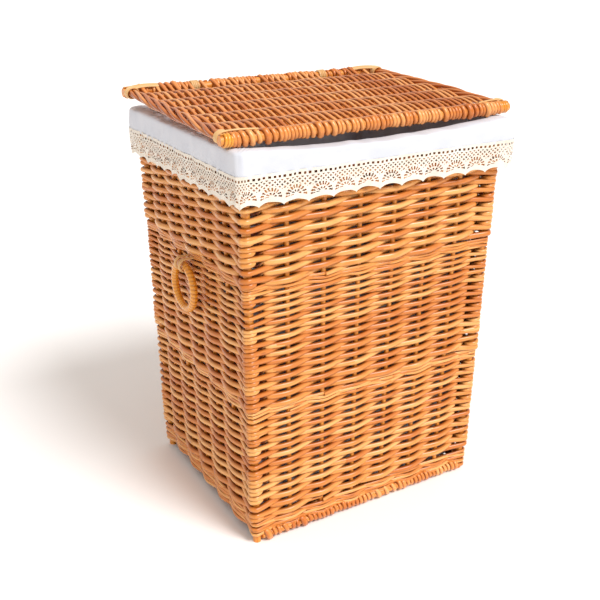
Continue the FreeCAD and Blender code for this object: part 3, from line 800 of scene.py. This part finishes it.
def lid_stick_cap(side, y, half):
    """The last turns, which cover a stick almost to its end."""
    inner, outer = half - 4, LID_STICK_END - 3
    steps = 33
    line = []
    for step in range(steps + 1):
        angle = math.tau * step / 10
        way = Vector((0, math.cos(angle), math.sin(angle)))
        x = side * (inner + (outer - inner) * step / steps)
        line.append((Vector((x, y, 0)) + way * 7.4, 2.5, way))
    return line


def lid():
    """The lid's weave, its twisted edges and the bindings at its corners."""
    half = node_box("lid_weave")[1].x
    rows = [-LID_DEPTH * (1 - step / (LID_ROWS - 1)) for step in range(LID_ROWS)]
    lines = panel_lines(
        half - 2, rows, stick=4, edge=6.5, thick=5.7, passes=80, flatness=0.78, turns=0.55, seed=21
    )
    lines = without_loops(lines, [node_middle(f"{side}_hinge_loop").x for side in ("left", "right")])
    rods = make_rods("lid_rods", on_lid(lines), LID_WILLOW, flatness=0.78, steps=3)
    dress(rods, LID, "willow", "lid_weave")
    bindings, caps = [], []
    for name, side in (("left", -1), ("right", 1)):
        rods = make_rods(f"lid_{name}_twist", on_lid(lid_twist(side, half)), LID_WILLOW, steps=3)
        dress(rods, LID, "willow", f"lid_{name}_edge_rods")
        for y in (-LID_DEPTH, 0):
            bindings += lid_binding(side, y, half)
            caps.append(lid_stick_cap(side, y, half))
    rods = make_rods("lid_bindings", on_lid(bindings), PALE_CANE, steps=3, unevenness=0.1, flatness=0.7)
    dress(rods, LID, "golden_cane", "lid_corner_bindings")
    dress(make_rods("lid_stick_caps", on_lid(caps), CANE, steps=3, flatness=0.7), LID, "golden_cane")


# ---------------- hinge loops and handles


def loop_lines(offsets, bore, reach, radius, side, to_point):
    """Rods that run round a bar at the origin and back past a point at -reach. to_point places them."""
    lines = []
    for across in offsets:
        line = []
        for centre, start in ((0, -90), (-reach, 90)):
            for step in range(7):
                angle = math.radians(start + 30 * step)
                spot = (centre + bore * math.cos(angle), bore * math.sin(angle), across)
                line.append((to_point(*spot), radius, side))
        line.append(line[0])
        lines.append(line)
    return lines


def hinge_loops():
    """Four turns of cane at each side, which tie the lid's back stick to the rim."""
    for name in ("left", "right"):
        low, high = node_box(f"{name}_hinge_loop")
        x = (low.x + high.x) / 2
        radius = 1.7
        bore = (high.y - low.y) / 2 - radius - 0.1
        reach = high.z - low.z - (high.y - low.y)
        offsets = [3.3 * number - 5 for number in range(4)]

        def to_point(along, beside, across, x=x):
            return Vector((x + across, LID_BACK.y + beside, LID_BACK.z + along))

        lines = loop_lines(offsets, bore, reach, radius, (1, 0, 0), to_point)
        rods = make_rods(f"{name}_hinge_rods", lines, PALE_CANE, steps=2, unevenness=0.1)
        dress(rods, BASKET, "golden_cane", f"{name}_hinge_loop")


def handles():
    """Each ring with its cane wound round it, and the loops of cane that hold it."""
    for name, side in (("left", -1), ("right", 1)):
        low, high = node_box(f"{name}_handle_wrap")
        centre = (low + high) / 2
        tube = (high.x - low.x) / 2
        ring = (high.z - low.z) / 2 - tube
        turns, steps = 38, 10
        line = []
        for step in range(turns * steps + 2):
            turn = math.tau * step / steps
            angle = turn / turns
            outwards = Vector((0, math.sin(angle), -math.cos(angle)))
            way = outwards * math.cos(turn) + Vector((math.sin(turn), 0, 0))
            line.append((centre + outwards * ring + way * (tube - 1.9), 3.7, way))
        wrap = make_rods(f"{name}_ring_cane", [line], CANE, flatness=0.3, steps=2, unevenness=0.05)
        dress(wrap, f"{name}_handle", "golden_cane", f"{name}_handle_wrap")

        band_low, band_high = node_box(f"{name}_handle_binding")
        pivot = Vector((centre.x, 0, centre.z + ring))
        radius = 1.45
        bore = (band_high.z - band_low.z) / 2 - radius - 0.1
        reach = (band_high.x - band_low.x) - 2 * bore - 2 * radius

        def to_point(along, beside, across, side=side, pivot=pivot):
            return pivot + Vector((side * along, across, beside))

        offsets = (-8.6, -5.6, 5.6, 8.6)
        lines = loop_lines(offsets, bore, reach, radius, (0, 1, 0), to_point)
        rods = make_rods(f"{name}_ring_loops", lines, PALE_CANE, steps=2, unevenness=0.1)
        dress(rods, BASKET, "golden_cane", f"{name}_handle_binding")


# ---------------- liner and lace

CLOTH = node_box("liner_bag")
LACE_BOX = node_box("lace_trim")
HEM = LACE_BOX[1].z - 4  # the lace is sewn on this far above the cuff's lower edge
CUFF_OUT = 5.2  # the cuff hangs this far outside the walls' face
BAG_IN = -20.8  # and the bag this far inside it
CORNER_SHARE = 0.045  # each wall's share that turns a corner, at either end
HINGE_X = [node_middle(f"{side}_hinge_loop").x for side in ("right", "left")]
BACK_MIDDLE = 2.5  # the middle of the back wall, in walls round from the front left corner
SLIT = 9.5  # half the width of the slit at a hinge loop
CUFF_CORNER = 11  # the radius that the cuff turns a corner with
BAG_CORNER = 8  # and the bag
SLIT_CORNER = 14  # and the line along which the slits are measured
FOLD = RIM - 4  # the fold over the border begins and ends at this height
FOLD_RISE = 6.4  # and rises this far
FLOOR_GAP = 1.1  # the bag's floor lies this far above the CAD bag's lowest face


def cloth_point(place, height, out, corner):
    """A point round the basket, and which way is out of the cloth there.

    place counts walls from the front left corner, out is from the walls' face, and corner is a radius.
    """
    wall = int(place) % 4
    share = place - int(place)
    _, way, outwards = WALLS[wall]
    half = post_line(height) + Vector((WALL_FACE + out, WALL_FACE + out))
    reach = abs(half.x * way.x) + abs(half.y * way.y)
    across = abs(half.x * outwards.x) + abs(half.y * outwards.y)
    near = min(share, 1 - share)
    sign = -1 if share < 0.5 else 1
    if near < CORNER_SHARE:
        angle = math.radians(45 * (1 - near / CORNER_SHARE))
        along = sign * (reach - corner + corner * math.sin(angle))
        across = across - corner + corner * math.cos(angle)
        normal = outwards * math.cos(angle) + way * (sign * math.sin(angle))
    else:
        straight = (share - CORNER_SHARE) / (1 - 2 * CORNER_SHARE)
        along = (2 * straight - 1) * (reach - corner)
        normal = outwards
    flat = way * along + outwards * across
    return Vector((flat.x, flat.y, height)), Vector((normal.x, normal.y, 0))


def wall_shares():
    """Places of the cloth's columns, closer at the corners and exact at the slits."""
    places = []
    corner_steps, straight_steps = 4, 44
    for wall in range(4):
        places += [wall + CORNER_SHARE * step / corner_steps for step in range(corner_steps)]
        straight = 1 - 2 * CORNER_SHARE
        places += [wall + CORNER_SHARE + straight * step / straight_steps for step in range(straight_steps)]
        last = 1 - CORNER_SHARE
        places += [wall + last + CORNER_SHARE * step / corner_steps for step in range(corner_steps)]
    for x in HINGE_X:
        for edge in (-SLIT, SLIT):
            reach = post_line(RIM).x + WALL_FACE - SLIT_CORNER
            spot = BACK_MIDDLE - (x + edge) / reach / 2 * (1 - 2 * CORNER_SHARE)
            nearest = min(range(len(places)), key=lambda k: abs(places[k] - spot))
            places[nearest] = spot
    return places


def in_slit(place):
    """Whether a place on the back wall lies in the slit at a hinge loop."""
    if not 2 < place < 3:
        return False
    point, _ = cloth_point(place, RIM, CUFF_OUT, SLIT_CORNER)
    return any(abs(point.x - x) < SLIT - 0.3 for x in HINGE_X)


def flare(place):
    """How far the cuff's lower part stands off the wall: most at the front right corner."""
    # each corner's place, how wide the flare is there, and how far it stands off
    spots = ((1.0, 0.13, 8.5), (0.0, 0.05, 1.5), (4.0, 0.05, 1.5), (2.0, 0.08, 2.5), (3.0, 0.08, 2.5))
    return sum(size * math.exp(-(((place - spot) / width) ** 2)) for spot, width, size in spots)


def round_noise(place, scale, height, seed):
    """Noise that meets itself after once round the basket."""
    angle = place * math.pi / 2
    return noise.noise((math.cos(angle) * scale + seed, math.sin(angle) * scale, height))


def bow(point):
    """Lowers a point of the cloth with the bowed rim, and less the nearer it is to the hem."""
    share = max(0, min(1, (point.z - HEM) / (RIM - HEM)))
    point.z -= rim_sag(point) * share


def cloth_piece(name, points, faces, material):
    """A cloth's object from its points, in metres, with a layer for its own coordinates."""
    mesh = bpy.data.meshes.new(name)
    mesh.from_pydata(points, [], faces)
    mesh.materials.append(material)
    return new_object(name, mesh), mesh, mesh.uv_layers.new(name="UVMap")


def cuff_point(place, height, extra):
    """A point of the folded cuff or of the lace below it, with the cloth's soft waves."""
    drop = max(0, (RIM - height) / (RIM - HEM))
    point, normal = cloth_point(place, height, CUFF_OUT + extra, CUFF_CORNER)
    wave = round_noise(place, 9, height * 0.006, 0) * 2.4
    wave += round_noise(place, 26, height * 0.014, 9) * 2.4
    bulge = flare(place) * math.sin(min(1, drop / 0.9) * math.pi / 2) ** 1.5
    point += normal * (1.3 + wave * (0.35 + 0.65 * min(1, drop)) + bulge)
    return point, normal


FLOOR_REACH = 170  # about how far the floor's middle is from its edge
WALL_LENGTH = 0.4  # what one wall counts for in the cloth's own coordinates, in metres


def liner():
    """The cotton bag: floor, walls, the fold over the border and the cuff outside it."""
    places = wall_shares()
    floor = CLOTH[0].z + FLOOR_GAP
    rows = []  # (height, outside the face, scale towards the middle, kind)
    for step in range(7):
        rows.append((floor, BAG_IN, step / 6, "floor"))
    for step in range(1, 19):
        rows.append((floor + (FOLD - floor) * step / 18, BAG_IN, 1, "bag"))
    for step in range(1, 9):
        angle = math.pi * (1 - step / 9)
        middle, reach = (BAG_IN + CUFF_OUT) / 2, (CUFF_OUT - BAG_IN) / 2
        height = FOLD + FOLD_RISE * math.sin(angle) ** 0.6
        rows.append((height, middle + reach * math.cos(angle), 1, "fold"))
    for step in range(9):
        rows.append((FOLD + (HEM - FOLD) * step / 8, CUFF_OUT, 1, "cuff"))
    slit_foot = node_box("left_hinge_loop")[0].z - 2
    points, uvs = [], []
    run = 0
    for number, (height, out, scale, kind) in enumerate(rows):
        if number:
            before = rows[number - 1]
            run += math.hypot(height - before[0], (out - before[1]) + (scale - before[2]) * FLOOR_REACH)
        for place in places:
            if kind == "cuff":
                point, normal = cuff_point(place, height, 0)
            else:
                point, normal = cloth_point(place, height, out, CUFF_CORNER if kind == "fold" else BAG_CORNER)
                soft = round_noise(place, 5, height * 0.004, 4) * 3.0
                soft += round_noise(place, 15, height * 0.01, 3) * 1.2
                if kind == "bag":
                    ease = math.sin(math.pi * min(1, (height - floor) / (RIM - floor)))
                    point -= normal * (1.6 + soft) * max(0, ease) * 1.2
                if kind == "fold":
                    share = (out - BAG_IN) / (CUFF_OUT - BAG_IN)
                    ruffle = round_noise(place, 11, 0, 7) + round_noise(place, 30, 0, 2) * 0.8
                    point.z -= abs(ruffle) * 5 * math.sin(math.pi * share) ** 0.7
                    cuff, _ = cuff_point(place, RIM, 0)
                    edge, _ = cloth_point(place, RIM, CUFF_OUT, CUFF_CORNER)
                    point += (cuff - edge) * share
                if kind == "floor":
                    point.x *= scale
                    point.y *= scale
            bow(point)
            points.append(point * MM)
            uvs.append((place * WALL_LENGTH, run * MM))
    count = len(places)
    faces = []
    for row in range(1, len(rows)):
        below, above = (row - 1) * count, row * count
        high = min(rows[row - 1][0], rows[row][0])
        for column in range(count):
            after = (column + 1) % count
            middle = (places[column] + (places[after] if after else 4.0)) / 2
            if rows[row][3] != "floor" and high > slit_foot and in_slit(middle):
                continue
            if row == 1:
                faces.append((0, above + after, above + column))
            else:
                faces.append((below + column, below + after, above + after, above + column))
    piece, mesh, layer = cloth_piece("liner", points, faces, COTTON)
    for face in mesh.polygons:
        for corner in face.loop_indices:
            vertex = mesh.loops[corner].vertex_index
            u, v = uvs[vertex]
            if vertex % count == 0 and max(uvs[i][0] for i in face.vertices) > 3 * WALL_LENGTH:
                u = 4 * WALL_LENGTH
            layer.data[corner].uv = (u, v)
    smooth(piece, 1)
    dress(piece, BASKET, "cotton", "liner_bag")
    return piece


def smooth(piece, levels):
    """Drops unused points, smooths a cloth and applies the smoothing."""
    work = bmesh.new()
    work.from_mesh(piece.data)
    loose = [vertex for vertex in work.verts if not vertex.link_faces]
    bmesh.ops.delete(work, geom=loose, context="VERTS")
    work.to_mesh(piece.data)
    work.free()
    if levels:
        divide = piece.modifiers.new("smooth", "SUBSURF")
        divide.levels = divide.render_levels = levels
        graph = bpy.context.evaluated_depsgraph_get()
        piece.data = bpy.data.meshes.new_from_object(piece.evaluated_get(graph), depsgraph=graph)
        piece.modifiers.clear()
    for face in piece.data.polygons:
        face.use_smooth = True


MOTIFS = 50  # fans round the basket
MOTIF_COLUMNS = 30  # stitches across one
LACE_ROWS = 38  # and down the lace
HEADER_ROWS = 4  # the solid band at the top
LADDER_ROWS = 7  # and the end of the square eyelets under it
FAN_ROW = 32  # the row of the fans' foot


def lace_hole(column, row):
    """Whether a stitch of one motif is open. Stitches are counted across the motif and down the lace."""
    if row < HEADER_ROWS:
        return False
    if row < LADDER_ROWS:
        return column % 6 < 3
    across, up = column + 0.5 - MOTIF_COLUMNS / 2, FAN_ROW - row
    reach = math.hypot(across, up)
    angle = math.degrees(math.atan2(up, across))
    if reach < 15 and up > 0:
        if reach > 8.5:
            return reach < 13.5 and angle % 18 > 8
        return 3.5 < reach < 7 and angle % 36 > 19
    if 8 < row < 21:  # a net of diamonds between the ladder and the fans
        return (column + row) % 6 < 3 and (column - row) % 6 < 3
    return False


def lace_depth(u):
    """How far down the lace reaches, as a share of its height: arches between short points."""
    return 1 - 0.13 * math.sin(math.pi * u) ** 0.6


MOTIF_WIDTH, LACE_HEIGHT = 0.032, 0.044  # in metres, as the thread coordinates are


def lace():
    """The crochet edging, cut out in real eyelets, fans and scallops."""
    columns = MOTIFS * MOTIF_COLUMNS
    top = LACE_BOX[1].z
    tall = LACE_BOX[1].z - LACE_BOX[0].z
    points, uvs, faces = [], [], []
    for row in range(LACE_ROWS + 1):
        for column in range(columns):
            u = column / MOTIF_COLUMNS % 1
            share = row / LACE_ROWS * lace_depth(u)
            place = 4 * column / columns
            height = top - tall * share
            extra = 0.5 - 1.5 * max(0, share - 0.4)
            point, _ = cuff_point(place, height, extra)
            point.z += noise.noise((place * 6, 1, 0)) * 2.5 * share
            bow(point)
            points.append(point * MM)
            uvs.append((column / MOTIF_COLUMNS * MOTIF_WIDTH, share * LACE_HEIGHT))
    for row in range(LACE_ROWS):
        for column in range(columns):
            after = (column + 1) % columns
            if lace_hole(column % MOTIF_COLUMNS, row) or in_slit(4 * (column + 0.5) / columns):
                continue
            first, second = row * columns, (row + 1) * columns
            faces.append((first + column, second + column, second + after, first + after))
    piece, mesh, layer = cloth_piece("lace", points, faces, LACE)
    for corner in mesh.loops:
        layer.data[corner.index].uv = uvs[corner.vertex_index]
    smooth(piece, 0)
    dress(piece, BASKET, "lace", "lace_trim")
    return piece


# ---------------- CAD nodes that stay


def finish_sticks():
    """Gives the posts, stakes and sticks that show their willow."""
    for name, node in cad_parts.items():
        upright = "post" in name or "stake" in name
        if upright or "stick" in name or name.endswith("core"):
            for slot in node.material_slots:
                slot.material = UPRIGHT if upright else LEVEL


# ---------------- light, floor and camera


def studio():
    """A pale floor, a soft high light from the front right, and an even room that is nearly white."""
    bpy.ops.mesh.primitive_plane_add(size=30)  # metres, so that the camera doesn't see its edge
    floor = bpy.context.object
    floor.name = "floor"
    floor.data.materials.append(FLOOR)

    world = bpy.data.worlds.new("room")
    bpy.context.scene.world = world
    world.use_nodes = True
    background = world.node_tree.nodes["Background"]
    background.inputs["Color"].default_value = colour("#FFF7F0")
    background.inputs["Strength"].default_value = 0.72

    sun = bpy.data.lights.new("key", "SUN")
    sun.energy = 2.7
    sun.angle = math.radians(22)
    lamp = new_object("key", sun)
    towards = Vector((0.3, -0.9, 1.1))
    lamp.rotation_euler = towards.to_track_quat("Z", "Y").to_euler()
    bpy.context.scene.view_settings.view_transform = "Standard"


def camera():
    """Looks at the basket from the front left, a little above."""
    azimuth, elevation = math.radians(-30.776), math.radians(22.566)
    target = Vector((-0.02424, 0, 0.29984))
    level = math.cos(elevation)
    back = Vector((math.sin(azimuth) * level, -math.cos(azimuth) * level, math.sin(elevation)))
    lens = bpy.data.cameras.new("camera")
    lens.lens = 51.88
    lens.sensor_width = 36
    lens.clip_end = 100
    view = new_object("camera", lens)
    distance = 1.40006
    view.location = target + back * distance
    view.rotation_euler = back.to_track_quat("Z", "Y").to_euler()
    bpy.context.scene.camera = view


# ---------------- make

camera()
studio()
walls()
stray_tips()
border()
base()
lid()
hinge_loops()
handles()
liner_piece = liner()
lace_piece = lace()
finish_sticks()
